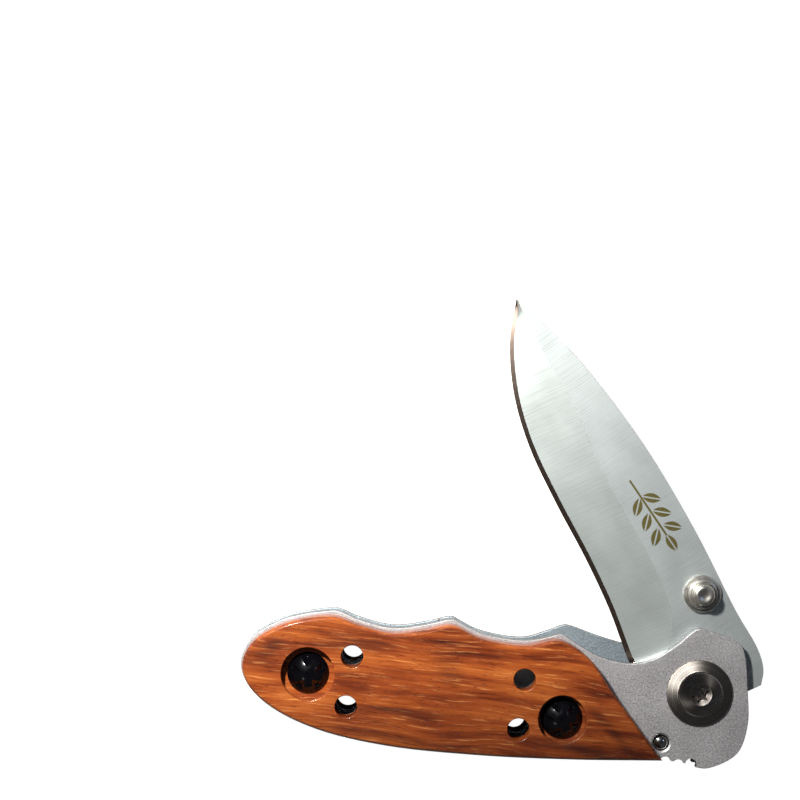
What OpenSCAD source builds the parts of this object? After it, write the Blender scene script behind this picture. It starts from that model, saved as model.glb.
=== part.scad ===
// Folding grafting knife with a drop-point blade, two steel liners, wooden scales and a liner lock.
// It lies on its back scale, half open. The origin is on the blade's pivot axis, in the plane that
// the knife lies on. +X runs from the tail to the pivot, +Y towards the blade's slot, +Z upwards.

/* [Handle] */
// Length of the handle, from its tail to the front of the bolster
handle_l = 90; // [75:1:108]
// Depth of the handle, from its belly to its highest hump
handle_d = 27.7; // [23.1:0.1:33.2]
// Thickness of each wooden scale
scale_t = 3.5; // [3:0.1:4.5]
// Thickness of each steel liner
liner_t = 1.5; // [1.2:0.1:2]
// Width of liner that shows round the edge of a scale
reveal = 0.5; // [0.3:0.1:0.8]
// Radius of a scale's rounded edge
edge_round = 0.8; // [0.5:0.1:0.9]
// Diameter of the four through holes
hole_d = 3.9; // [3:0.1:4.5]
// Radius of the thumb notches in the belly of the bolster
notch_r = 1; // [0.8:0.05:1.1]

/* [Blade] */
// Depth of the blade across its heel
blade_d = 21.2; // [17.7:0.1:23]
// Thickness of the blade
blade_t = 2.5; // [2:0.1:3]
// Thickness of the blade where its sharpened bevel starts
bevel_t = 0.6; // [0.4:0.1:0.8]
// Width of the sharpened bevel
bevel_w = 0.9; // [0.6:0.1:1.3]
// Room between the folded blade's tip and the end of the tail
tip_room = 5.3; // [4:0.1:8]
// Angle from the folded blade to the blade as it lies
rest_turn = 56; // [20:1:150]
// Whole travel of the blade
full_turn = 180; // [170:1:182]

/* [Pivot and stop] */
// Diameter of the pivot's shaft
pivot_d = 5; // [4.5:0.1:6]
// Diameter of the pivot's two heads
pivot_head_d = 11.8; // [10:0.1:12.4]
// Height of the pivot's two heads
pivot_head_h = 1.3; // [1:0.1:1.8]
// Radial clearance of the blade on the pivot
running_fit = 0.03; // [0.01:0.01:0.08]
// Outer diameter of the washers
washer_d = 10; // [8:0.1:11]
// Thickness of each washer
washer_t = 0.25; // [0.2:0.05:0.4]
// Diameter of the stop pin
stop_d = 3; // [2.5:0.1:3.2]
// Gap that is left between the tang and the stop pin at both ends of the travel
stop_gap = 0.06; // [0.04:0.01:0.15]

/* [Lock] */
// Width of the slot that frees the lock leaf from the back liner
lock_slot_w = 0.9; // [0.6:0.1:1.2]
// Distance from the pivot axis to the end of the lock leaf
lock_end_x = 6.8; // [6.6:0.1:7]
// Angle that the lock leaf can be pushed outwards, into its pocket in the back scale
lock_turn = 0.9; // [0.6:0.1:1]
// Diameter of the detent ball
ball_d = 1.2; // [1:0.1:1.4]
// Gap between the detent ball and the blade
ball_gap = 0.05; // [0.03:0.01:0.1]

/* [Screws] */
// Diameter of the domed scale screws
dome_d = 7.4; // [6.5:0.1:8]
// Height of the domed heads
dome_h = 1.9; // [1.6:0.1:2]
// Depth of the counterbores for the domed heads
seat_depth = 2; // [1.8:0.1:2.2]
// Diameter of the tail screw's counterbore
tail_seat_d = 9.4; // [8.2:0.1:10]
// Diameter of the middle screw's counterbore
mid_seat_d = 8.5; // [8.2:0.1:9]
// Diameter of the scale screws' threads
scale_thread_d = 2.5; // [2:0.1:3]
// Diameter of the threads that hold the backspacer
spacer_thread_d = 1.6; // [1.2:0.1:2]
// Width of the backspacer
spacer_w = 3; // [2.8:0.1:3.2]

/* [Thumb stud] */
// Diameter of the stud's foot
stud_d = 6.7; // [5.5:0.1:7.5]
// Height of the stud above the blade
stud_h = 3; // [2.4:0.1:4]
// Diameter of the stud's shank in the blade
stud_shank_d = 2; // [1.8:0.1:2.4]

/* [Hidden] */

$fn = 64;
cut = 1;             // how far a cutting tool reaches past a face
steps = 6;           // straight pieces between two points of an outline

// Heights of the layers, from the plane that the knife lies on
slot_t = blade_t + 2 * washer_t;
back_liner_z = scale_t;
slot_z = back_liner_z + liner_t;
blade_z = slot_z + washer_t;
front_liner_z = slot_z + slot_t;
front_scale_z = front_liner_z + liner_t;
knife_t = front_scale_z + scale_t;

// The outlines are drawn for these sizes and scaled to the sizes above
drawn_handle = [90, 27.7];
drawn_blade = [76.1, 21.2];
drawn_tail = 81.4;
tail_x = drawn_tail * handle_l / drawn_handle[0];
tip_x = tail_x - tip_room;
function on_handle(p) = [p[0] * handle_l / drawn_handle[0], p[1] * handle_d / drawn_handle[1]];
function on_blade(p) = [p[0] * tip_x / drawn_blade[0], p[1] * blade_d / drawn_blade[1]];
function placed(points) = [for (p = points) on_handle(p)];
function bladed(points) = [for (p = points) on_blade(p)];

// Handle, seen from the front and clockwise: belly and tail, the humps, then each part's own front
belly = [
    [-6, -11.9], [-23, -11.7], [-40, -10.9], [-56, -9.2], [-68, -6.3], [-76, -2.4], [-80.2, 1.6],
];
tail = [[-81.4, 5.6], [-79.5, 9.7], [-73.5, 13.2]];
humps = [
    [-65.6, 14.6], [-64.4, 14.6], [-63.2, 14.2], [-60.4, 13], [-54.3, 11.5], [-48.1, 12.2],
    [-44.5, 13], [-43.5, 13], [-42.4, 12.4], [-38.8, 10.6], [-31, 9.3],
];
front_dip = [
    [-26.4, 10], [-24.9, 10.4], [-23.9, 10.2], [-22.1, 9], [-18, 6.6], [-12.2, 5.2], [-8, 6],
    [-4, 8.4], [-1, 10.9],
];
back_dip = [
    [-26.5, 10.5], [-23.5, 11.5], [-22.5, 11.4], [-17, 9.4], [-12, 8], [-8, 7.6], [-4, 8.9], [-1, 10.9],
];
nose = [
    [0.2, 11.4], [1.3, 11.1], [6.7, 9.1], [7.9, 7.6], [8.6, 0.5], [8.6, -5.8], [6.7, -10.8],
    [1.6, -13.35], [-0.5, -13.2], [-2.6, -12.45], [-6, -11.9],
];
wood_humps = [
    [-64.8, 14.5], [-60, 12.9], [-54.3, 11.5], [-48.5, 12.1], [-43.9, 12.9], [-38.8, 10.6],
    [-31.2, 9.3], [-24.8, 10.2], [-19.2, 6.6],
];
wood_front = [[-15.2, 0.8], [-6, -11.9]];
hole_places = placed([[-61.5, 7], [-62.6, -1.8], [-31.2, 2.9], [-32.3, -5.8]]);
tail_screw_at = on_handle([-69.3, 3.9]);
mid_screw_at = on_handle([-24.6, -4.1]);
tail_screw_turn = 92;
mid_screw_turn = 112;
stop_at = on_handle([-6.8, -8.8]);
notch_tops = placed([[-1.5, -11.6], [-3.75, -11.75], [-6.05, -11.25]]);

// Lock leaf: its root, the low side of its free end, and its pocket in the back scale
lock_root = on_handle([-46, 1.5]);
lock_low_y = -2.7;
root_gap = 0.1;
end_gap = 0.7;
leaf_nick = [2, 0.5];  // corner cut off the low side of the leaf's free end
pocket_room = 0.6;
pocket_spare_turn = 0.3;
ball_wall = 0.6;     // metal between the ball and the end of the leaf
ball_at = [-lock_end_x - ball_wall - ball_d / 2, 0.6];

// Folded blade, seen from the front: its back, its edge and the line where its grind starts
spine = [[-70, 14], [-60, 15.7], [-42, 16.7], [-24, 15.7], [-8, 13.7], [0, 13.1], [3.4, 11.9]];
edge = [
    [-76.1, 12.4], [-70.3, 7.1], [-62.1, 2.5], [-53, -0.4], [-42, -2.1], [-30.5, -3.3], [-21, -4.8],
    [-15.5, -6.1], [-12.3, -6.9],
];
grind = [
    [-75.9, 12.5], [-70, 11.5], [-62.5, 10.8], [-54.5, 10.3], [-42.5, 7.9], [-31, 7.1], [-20.5, 5.7],
    [-14.5, 4.2], [-9.8, 0.8],
];
stud_at = on_blade([-14, 10.4]);

// Tang: it clears the stop pin between a kick, which meets the pin when the blade is folded, and a
// shoulder, which meets it when the blade is open
shoulder_dir = 81;
tang_room = 1.2;
kick_past_pin = 0.4;
tang_steps = 40;     // straight pieces round the tang
lock_face_room = 0.1;
lock_face_x = lock_end_x - lock_face_room;
stop_r = stop_d / 2;
stop_reach = norm(stop_at);
stop_dir = atan2(stop_at[1], stop_at[0]);
tang_r = stop_reach - stop_r - tang_room;
kick_dir = stop_dir - asin((stop_r + stop_gap) / stop_reach);
kick_r = stop_reach + kick_past_pin;
shoulder_seat = turned(stop_at + (stop_r + stop_gap) * ray(shoulder_dir - full_turn + 90), full_turn);
shoulder_along = shoulder_seat * ray(shoulder_dir);
shoulder_off = norm(shoulder_seat - shoulder_along * ray(shoulder_dir));
shoulder_low = shoulder_seat
    + (sqrt(tang_r * tang_r - shoulder_off * shoulder_off) - shoulder_along) * ray(shoulder_dir);
shoulder_top = shoulder_seat + ray(shoulder_dir);
shoulder_end = atan2(shoulder_low[1], shoulder_low[0]);

// Small parts of the screws
scale_clearance = 0.1;
dimple_count = 5;
dimple_r = 0.55;
dimple_out = 0.74;   // share of the head's radius
dimple_up = 0.82;    // share of the head's height
pivot_thread_d = 3;
pivot_bevel = 0.7;
pivot_ring_d = 8;
pivot_rim_h = 0.35;  // height of a head's straight rim
pivot_step = 0.25;   // rise of its face above its bevel
pivot_sink_d = 4.3;
pivot_sink_h = 0.3;
torx_core_d = 2.4;
torx_lobe_d = 0.8;
torx_depth = 1;
spacer_head_d = spacer_thread_d + 1.4;
spacer_head_h = (spacer_head_d - spacer_thread_d) / 2;
spacer_inset = 0.3;
spacer_bite = 1.2;
spacer_screw_spans = [0.75, 2.4, 4.6];
stop_dome = 0.35;
stop_crown = [[0.85, 0.6], [0.5, 0.9]];  // points of its domed end, as shares of radius and dome
stop_chamfer = 0.3;
stud_thread_d = 1.2;
stud_head_d = 3.6;

// ---- Curves ----
function ray(a) = [cos(a), sin(a)];
function turned(p, a) = [p[0] * cos(a) - p[1] * sin(a), p[0] * sin(a) + p[1] * cos(a)];
function knot(a, b) = sqrt(norm(b - a));
function slope(a, b, c, k) =
    let (s = knot(a, b), t = knot(b, c))
    k * ((b - a) / s - (c - a) / (s + t) + (c - b) / t);
function blend_at(b, c, m, n, t) =
    (2 * pow(t, 3) - 3 * pow(t, 2) + 1) * b + (pow(t, 3) - 2 * pow(t, 2) + t) * m
    + (3 * pow(t, 2) - 2 * pow(t, 3)) * c + (pow(t, 3) - pow(t, 2)) * n;
function point(pts, i) =
    let (last = len(pts) - 1)
    i < 0 ? 2 * pts[0] - pts[1] : i > last ? 2 * pts[last] - pts[last - 1] : pts[i];
// Smooth curve through the points: t counts the points, and its whole part names one of them
function along(pts, t) =
    let (
        i = min(floor(t), len(pts) - 2),
        a = point(pts, i - 1), b = pts[i], c = pts[i + 1], d = point(pts, i + 2), k = knot(b, c)
    )
    blend_at(b, c, slope(a, b, c, k), slope(b, c, d, k), t - i);
function curve(pts, n = steps) = [for (i = [0 : (len(pts) - 1) * n]) along(pts, i / n)];
function closed_curve(pts, n = steps) = [for (i = [0 : (len(pts) - 1) * n - 1]) along(pts, i / n)];
function backwards(pts) = [for (i = [len(pts) - 1 : -1 : 0]) pts[i]];

// Inward normal of a clockwise outline on its way from a to b
function inward(a, b) = let (d = (b - a) / norm(b - a)) [d[1], -d[0]];
// A closed clockwise outline moved inwards, with its corners kept sharp
function inset(pts, d) = [
    for (i = [0 : len(pts) - 1])
        let (
            m = inward(pts[(i + len(pts) - 1) % len(pts)], pts[i]),
            n = inward(pts[i], pts[(i + 1) % len(pts)])
        )
        pts[i] + d * (m + n) / (1 + m * n)
];

front_outline = closed_curve(placed(concat(belly, tail, humps, front_dip, nose)));
back_outline = closed_curve(placed(concat(belly, tail, humps, back_dip, nose)));
wood_outline = inset(closed_curve(placed(concat(belly, tail, wood_humps, wood_front))), reveal);
belly_line = placed(concat(belly, [tail[0]]));

// ---- Solids from rings ----
// A closed solid through rings that all have the same number of points
module lofted(rings) {
    n = len(rings[0]);
    last = len(rings) - 1;
    sides = [
        for (r = [0 : last - 1], i = [0 : n - 1])
            let (j = (i + 1) % n, a = r * n + i, b = r * n + j)
            each [[a, b, b + n], [a, b + n, a + n]]
    ];
    ends = [[for (i = [n - 1 : -1 : 0]) i], [for (i = [0 : n - 1]) last * n + i]];
    polyhedron(points = [for (r = rings, p = r) p], faces = concat(sides, ends));
}

module plate(outline, z, t) {
    translate([0, 0, z])
        linear_extrude(height = t)
            polygon(outline);
}

module at_xy(p) {
    translate([p[0], p[1], 0])
        children();
}

// A front piece moved to the same place on the back of the handle
module on_back() {
    translate([0, 0, knife_t])
        mirror([0, 0, 1])
            children();
}

// A piece of the blade, drawn as it lies when folded, in the place where it rests
module as_blade_lies() {
    rotate([0, 0, -rest_turn])
        children();
}

module bore(p, d, z, h) {
    at_xy(p)
        translate([0, 0, z])
            cylinder(d = d, h = h);
}

// ---- Handle ----
module scale_blank() {
    flat = scale_t - edge_round;
    rounding = [for (a = [30, 60]) [flat + edge_round * sin(a), edge_round * (1 - cos(a))]];
    levels = concat([[-cut, 0], [flat, 0]], rounding, [[scale_t + 0.15 * edge_round, 0.9 * edge_round]]);
    rings = [
        for (v = levels)
            [for (p = inset(wood_outline, v[1])) [p[0], p[1], front_scale_z + v[0]]]
    ];
    // the faces that the wood is planed flat on
    difference() {
        lofted(rings);
        for (z = [front_scale_z - 2 * cut, knife_t])
            translate([-2 * handle_l, -2 * handle_d, z])
                cube([3 * handle_l, 4 * handle_d, 2 * cut]);
    }
}

module front_scale_shape() {
    floor_z = knife_t - seat_depth;
    shank_d = scale_thread_d + 2 * scale_clearance;
    difference() {
        scale_blank();
        for (p = hole_places)
            bore(p, hole_d, front_scale_z - cut, scale_t + 2 * cut);
        for (p = [tail_screw_at, mid_screw_at])
            bore(p, shank_d, front_scale_z - cut, scale_t + 2 * cut);
        bore(tail_screw_at, tail_seat_d, floor_z, seat_depth + cut);
        bore(mid_screw_at, mid_seat_d, floor_z, seat_depth + cut);
    }
}

module front_scale() {
    color("#b5622f")
        front_scale_shape();
}

module back_scale() {
    color("#a4552a")
        difference() {
            on_back()
                front_scale_shape();
            lock_pocket();
        }
}

// Holes that both liners have
module liner_bores(z) {
    from = z - cut;
    reach = liner_t + 2 * cut;
    for (p = hole_places)
        bore(p, hole_d, from, reach);
    for (p = [tail_screw_at, mid_screw_at])
        bore(p, scale_thread_d, from, reach);
    bore([0, 0], pivot_d, from, reach);
    bore(stop_at, stop_d, from, reach);
    for (p = notch_tops)
        bore(p - [0, notch_r], 2 * notch_r, from, reach);
    for (p = spacer_screw_places())
        bore(p, spacer_thread_d, from, reach);
}

// Seats in the outer face of the front liner
module liner_seats() {
    for (p = spacer_screw_places())
        at_xy(p)
            translate([0, 0, front_scale_z - spacer_head_h])
                cylinder(d1 = spacer_thread_d, d2 = spacer_head_d, h = spacer_head_h);
    at_xy(stop_at)
        translate([0, 0, front_scale_z - stop_chamfer])
            cylinder(d1 = stop_d, d2 = stop_d + 2 * stop_chamfer, h = stop_chamfer);
}

module front_liner() {
    color("#9a9a9c")
        difference() {
            plate(front_outline, front_liner_z, liner_t);
            liner_bores(front_liner_z);
            liner_seats();
        }
}

// The part of the back liner that is the lock leaf, and the same grown by its gaps
function leaf_zone(root, slot, end) = [
    [lock_root[0] - root, 2 * handle_d], [lock_root[0] - root, lock_root[1] - slot],
    [-lock_end_x - leaf_nick[0] + end, lock_low_y - slot],
    [-lock_end_x + end, lock_low_y + leaf_nick[1] - slot],
    [-lock_end_x + end, 2 * handle_d],
];

// Tapered space that the lock leaf turns into
module lock_pocket() {
    hinge = [lock_root[0], 0, back_liner_z + liner_t / 2];
    translate(hinge)
        rotate([0, lock_turn + pocket_spare_turn, 0])
            translate(-hinge)
                plate(leaf_zone(pocket_room, pocket_room, 0), back_liner_z, liner_t);
}

module back_liner() {
    color("#8e8e91")
        difference() {
            plate(back_outline, back_liner_z, liner_t);
            liner_bores(back_liner_z);
            on_back()
                liner_seats();
            plate(leaf_zone(root_gap, lock_slot_w, end_gap), back_liner_z - cut, liner_t + 2 * cut);
        }
}

module lock_leaf() {
    color("#8a8a8d")
        difference() {
            intersection() {
                plate(back_outline, back_liner_z, liner_t);
                plate(leaf_zone(0, 0, 0), back_liner_z - cut, liner_t + 2 * cut);
            }
            bore(ball_at, ball_d, back_liner_z - cut, liner_t + 2 * cut);
        }
}

module detent_ball() {
    color("#d0d2d4")
        at_xy(ball_at)
            translate([0, 0, blade_z - ball_gap - ball_d / 2])
                sphere(d = ball_d);
}

// Middle of the backspacer at a number of belly points
function spacer_mid(t) =
    let (a = along(belly_line, t), b = along(belly_line, t + 0.01))
    a + (spacer_inset + spacer_w / 2) * inward(a, b);
function spacer_screw_places() = [for (t = spacer_screw_spans) spacer_mid(t)];

module backspacer() {
    middle = [for (i = [2 : (len(belly_line) - 1) * steps - 2]) i / steps];
    half = spacer_w / 2;
    outer = [
        for (t = middle)
            let (a = along(belly_line, t), b = along(belly_line, t + 0.01)) a + spacer_inset * inward(a, b)
    ];
    inner = [
        for (t = middle)
            let (a = along(belly_line, t), b = along(belly_line, t + 0.01))
            a + (spacer_inset + spacer_w) * inward(a, b)
    ];
    color("#2b2b2d")
        difference() {
            plate(concat(outer, backwards(inner)), slot_z, slot_t);
            for (p = spacer_screw_places())
                bore(p, spacer_thread_d, slot_z - cut, slot_t + 2 * cut);
        }
}

// ---- Blade ----
edge_curve = curve(bladed(edge));
grind_curve = curve(bladed(grind));
spine_curve = curve(concat([on_blade(edge[0])], bladed(spine), [shoulder_top]));
// The tang's round end, with the flat face that the lock leaf springs behind
tang_arc = [
    for (i = [1 : tang_steps])
        let (a = shoulder_end + (kick_dir - shoulder_end) * i / tang_steps, c = cos(a - full_turn + 180))
        ray(a) * (c > 0 ? min(tang_r, lock_face_x / c) : tang_r)
];
blade_outline = concat(
    backwards(edge_curve),
    [for (i = [1 : len(spine_curve) - 1]) spine_curve[i]],
    [shoulder_low],
    tang_arc,
    [kick_r * ray(kick_dir)]
);

// One ring of the tool that grinds a flank, from the grind line g outwards past the edge e
function flank_ring(g, e, depth) =
    let (
        half = blade_t / 2, lip = bevel_t / 2,
        keen = 0.02,     // half the thickness left at the very edge
        reach = 3,
        w = norm(e - g), d = (e - g) / w, b = min(bevel_w, w / 2), s = e - b * d, far = e + reach * d,
        lip_z = half - (half - lip) * depth, keen_z = half - (half - keen) * depth,
        far_z = keen_z - (lip_z - keen_z) * reach / b
    )
    [
        [g[0], g[1], half], [s[0], s[1], lip_z], [far[0], far[1], far_z],
        [far[0], far[1], half + cut], [g[0], g[1], half + cut],
    ];

// Tool that grinds one flank. Past the heel the grind fades out on the tang, under the liner.
module flank_tool() {
    run_out = 3.4;
    fades = [1, 1, 0.6, -0.08];
    grind_dir = -60;
    heel_dir = -8;
    last = len(edge_curve) - 1;
    lofted(concat(
        [for (i = [0 : last]) flank_ring(grind_curve[i], edge_curve[i], 1)],
        [
            for (i = [0 : len(fades) - 1])
                let (along = run_out * (i + 1) / len(fades))
                flank_ring(
                    grind_curve[last] + along * ray(grind_dir),
                    edge_curve[last] + along * ray(heel_dir),
                    fades[i]
                )
        ]
    ));
}

module blade() {
    color("#b9bdbd")
        as_blade_lies()
            difference() {
                plate(blade_outline, blade_z, blade_t);
                translate([0, 0, blade_z + blade_t / 2])
                    flank_tool();
                translate([0, 0, blade_z + blade_t / 2])
                    mirror([0, 0, 1])
                        flank_tool();
                bore([0, 0], pivot_d + 2 * running_fit, blade_z - cut, blade_t + 2 * cut);
                bore(stud_at, stud_shank_d, blade_z - cut, blade_t + 2 * cut);
                at_xy(stud_at)
                    translate([0, 0, blade_z])
                        cylinder(d1 = stud_head_d, d2 = stud_shank_d, h = stud_sink());
            }
}

function stud_sink() = (stud_head_d - stud_shank_d) / 2;

module thumb_stud() {
    foot_h = 0.23 * stud_h;
    foot_slope = 0.1;
    step_r = 0.43 * stud_d;
    step_h = 0.5 * stud_h;
    step_slope = 0.35;
    cap_r = 0.27 * stud_d;
    cap_h = 0.85 * stud_h;
    crown_r = 0.7 * cap_r;
    profile = [
        [stud_thread_d / 2, stud_sink() - blade_t], [stud_shank_d / 2, stud_sink() - blade_t],
        [stud_shank_d / 2, 0], [stud_d / 2, 0], [stud_d / 2, foot_h], [step_r, foot_h + foot_slope],
        [step_r, step_h], [cap_r, step_h + step_slope], [cap_r, cap_h],
        [crown_r, stud_h], [0, stud_h], [0, 0], [stud_thread_d / 2, 0],
    ];
    color("#bdbcb8")
        as_blade_lies()
            at_xy(stud_at)
                translate([0, 0, blade_z + blade_t])
                    rotate_extrude()
                        polygon(profile);
}

module thumb_stud_screw() {
    color("#3c3c3f")
        as_blade_lies()
            at_xy(stud_at)
                translate([0, 0, blade_z]) {
                    cylinder(d1 = stud_head_d, d2 = stud_shank_d, h = stud_sink());
                    cylinder(d = stud_thread_d, h = blade_t);
                }
}

// ---- Pivot and stop ----
function head_profile(base) = [
    [0, base], [pivot_head_d / 2, base], [pivot_head_d / 2, base + pivot_rim_h],
    [pivot_head_d / 2 - pivot_bevel, base + pivot_head_h - pivot_step],
    [pivot_ring_d / 2 + pivot_step, base + pivot_head_h - pivot_step],
    [pivot_ring_d / 2, base + pivot_head_h], [0, base + pivot_head_h],
];

module torx(depth) {
    cylinder(d = torx_core_d, h = depth);
    for (i = [0 : 5])
        rotate([0, 0, 60 * i])
            translate([torx_core_d / 2, 0, 0])
                cylinder(d = torx_lobe_d, h = depth);
}

module pivot_screw() {
    thread_l = liner_t + slot_t;
    color("#a8a49c")
        difference() {
            union() {
                rotate_extrude()
                    polygon(head_profile(front_scale_z));
                translate([0, 0, front_scale_z - thread_l])
                    cylinder(d = pivot_thread_d, h = thread_l);
            }
            translate([0, 0, front_scale_z + pivot_head_h - torx_depth])
                torx(torx_depth + cut);
            translate([0, 0, front_scale_z + pivot_head_h - pivot_sink_h])
                cylinder(d1 = pivot_sink_d - 2 * pivot_sink_h, d2 = pivot_sink_d, h = pivot_sink_h);
        }
}

module pivot_barrel() {
    thread_l = liner_t + slot_t;
    color("#a8a49c") {
        on_back()
            rotate_extrude()
                polygon(head_profile(front_scale_z));
        translate([0, 0, back_liner_z])
            difference() {
                cylinder(d = pivot_d, h = front_scale_z - back_liner_z);
                translate([0, 0, front_scale_z - back_liner_z - thread_l])
                    cylinder(d = pivot_thread_d, h = thread_l + cut);
            }
    }
}

module washer(z) {
    color("#c08a4a")
        translate([0, 0, z])
            difference() {
                cylinder(d = washer_d, h = washer_t);
                translate([0, 0, -cut])
                    cylinder(d = pivot_d, h = washer_t + 2 * cut);
            }
}

module front_washer() {
    washer(blade_z + blade_t);
}

module back_washer() {
    washer(slot_z);
}

module stop_pin() {
    span = front_scale_z - back_liner_z;
    profile = [
        [0, 0], [stop_r, 0], [stop_r, span],
        for (q = stop_crown) [stop_r * q[0], span + stop_dome * q[1]],
        [0, span + stop_dome],
    ];
    color("#5a5b5e")
        at_xy(stop_at)
            translate([0, 0, back_liner_z])
                rotate_extrude()
                    polygon(profile);
}

// ---- Screws ----
// Black screw with a domed head, five dimples round its crown and one in the middle
module domed_screw(p, turn) {
    seat_z = knife_t - seat_depth;
    r = dome_d / 2;
    ball_r = (r * r + dome_h * dome_h) / (2 * dome_h);
    rim = [for (a = [0 : 7]) let (x = r * (1 - a / 8)) [x, sqrt(ball_r * ball_r - x * x) - ball_r + dome_h]];
    profile = concat([[0, 0], [r, 0]], [for (q = rim) if (q[1] > 0.05) q], [[0, dome_h]]);
    color("#0b0b0d")
        at_xy(p)
            difference() {
                union() {
                    translate([0, 0, seat_z])
                        rotate_extrude()
                            polygon(profile);
                    translate([0, 0, front_liner_z])
                        cylinder(d = scale_thread_d, h = seat_z - front_liner_z + cut / 2);
                }
                for (i = [0 : dimple_count - 1])
                    rotate([0, 0, turn + 360 * i / dimple_count])
                        translate([dimple_out * r, 0, seat_z + dimple_up * dome_h])
                            sphere(r = dimple_r);
                translate([0, 0, seat_z + dome_h + dimple_r / 2])
                    sphere(r = dimple_r);
            }
}

module front_tail_screw() {
    domed_screw(tail_screw_at, tail_screw_turn);
}

module front_middle_screw() {
    domed_screw(mid_screw_at, mid_screw_turn);
}

module back_tail_screw() {
    on_back()
        domed_screw(tail_screw_at, tail_screw_turn);
}

module back_middle_screw() {
    on_back()
        domed_screw(mid_screw_at, mid_screw_turn);
}

// Countersunk screws, flush with the liner under the scale
module spacer_screws() {
    for (p = spacer_screw_places())
        at_xy(p)
            translate([0, 0, front_scale_z]) {
                translate([0, 0, -spacer_head_h])
                    cylinder(d1 = spacer_thread_d, d2 = spacer_head_d, h = spacer_head_h);
                translate([0, 0, -liner_t - spacer_bite])
                    cylinder(d = spacer_thread_d, h = liner_t + spacer_bite - spacer_head_h);
            }
}

module front_spacer_screws() {
    color("#77787a")
        spacer_screws();
}

module back_spacer_screws() {
    color("#77787a")
        on_back()
            spacer_screws();
}

front_scale();
back_scale();
front_liner();
back_liner();
lock_leaf();
detent_ball();
backspacer();
blade();
thumb_stud();
thumb_stud_screw();
pivot_screw();
pivot_barrel();
front_washer();
back_washer();
stop_pin();
front_tail_screw();
front_middle_screw();
back_tail_screw();
back_middle_screw();
front_spacer_screws();
back_spacer_screws();
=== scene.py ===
"""Looks of a folding grafting knife: oiled hardwood scales, blasted liners and a satin blade.

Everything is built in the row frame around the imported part. The origin is on the pivot axis, in
the plane that the knife lies on, +X runs from the tail to the pivot and +Z upwards. Meshes are
shaped in millimetres and written out in metres.
"""

import logging
import math
from abc import ABC, abstractmethod
from collections.abc import Callable, Sequence
from dataclasses import dataclass, field
from enum import Enum

import bmesh
import bpy
from mathutils import Matrix, Vector


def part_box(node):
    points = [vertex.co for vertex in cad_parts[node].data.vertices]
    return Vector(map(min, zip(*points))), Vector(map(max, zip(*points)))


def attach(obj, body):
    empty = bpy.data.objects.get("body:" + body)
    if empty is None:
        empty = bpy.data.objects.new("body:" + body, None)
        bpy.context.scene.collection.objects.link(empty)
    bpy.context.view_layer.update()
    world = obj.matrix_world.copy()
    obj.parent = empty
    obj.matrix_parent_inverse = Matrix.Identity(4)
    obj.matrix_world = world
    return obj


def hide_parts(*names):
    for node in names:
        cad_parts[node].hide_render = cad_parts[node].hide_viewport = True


MM = 0.001
REST_TURN = 56.0  # degrees from the folded blade to the blade as it lies

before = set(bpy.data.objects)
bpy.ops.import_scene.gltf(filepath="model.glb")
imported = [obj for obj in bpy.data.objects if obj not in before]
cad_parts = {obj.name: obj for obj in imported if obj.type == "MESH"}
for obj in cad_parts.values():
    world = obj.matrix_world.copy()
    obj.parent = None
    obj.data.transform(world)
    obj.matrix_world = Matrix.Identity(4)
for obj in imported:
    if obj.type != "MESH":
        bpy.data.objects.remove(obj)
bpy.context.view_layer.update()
log = logging.getLogger("knife")

Tree = bpy.types.NodeTree
Node = bpy.types.Node
Socket = bpy.types.NodeSocket
Mesh = bmesh.types.BMesh


class Body(Enum):
    """The bodies that pieces ride on."""

    HANDLE = "handle"
    BLADE = "blade"
    LEAF = "lock_leaf"


def linear(colour: str) -> tuple[float, float, float, float]:
    """Turns an sRGB hex colour to linear values.

    Args:
        colour: The colour as "#rrggbb".

    Returns:
        Red, green, blue and an alpha of one.
    """
    parts = [int(colour[i : i + 2], 16) / 255 for i in (1, 3, 5)]
    r, g, b = (p / 12.92 if p <= 0.04045 else ((p + 0.055) / 1.055) ** 2.4 for p in parts)
    return r, g, b, 1.0


def add_node(
    tree: Tree,
    kind: str,
    values: dict[str | int, object] | None = None,
    links: dict[str | int, Socket] | None = None,
    stops: Sequence[tuple[float, str]] = (),
    **settings: object,
) -> Node:
    """Adds one node with its settings, its socket values and its links.

    Args:
        tree: The node tree to add to.
        kind: The node's type name.
        values: Socket values, by socket name or place.
        links: Output sockets of other nodes, by the name or place of the socket they feed.
        stops: Places and hex colours, for a colour ramp.
        **settings: Attributes of the node itself.

    Returns:
        The new node.
    """
    made = tree.nodes.new(kind)
    for name, value in settings.items():
        setattr(made, name, value)
    for key, value in (values or {}).items():
        made.inputs[key].default_value = value
    for key, source in (links or {}).items():
        tree.links.new(source, made.inputs[key])
    for i, (place, colour) in enumerate(stops):
        ramp = made.color_ramp.elements
        stop = ramp[i] if i < 2 else ramp.new(place)
        stop.position = place
        stop.color = linear(colour)
    return made


# ---------------------------------------------------------------- finishes


def shaded(colour: str, share: float) -> tuple[float, float, float, float]:
    """The linear values of a hex colour whose channels are first multiplied by the share."""
    parts = (int(colour[i : i + 2], 16) for i in (1, 3, 5))
    return linear("#" + "".join(f"{min(255, round(p * share)):02x}" for p in parts))


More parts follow.
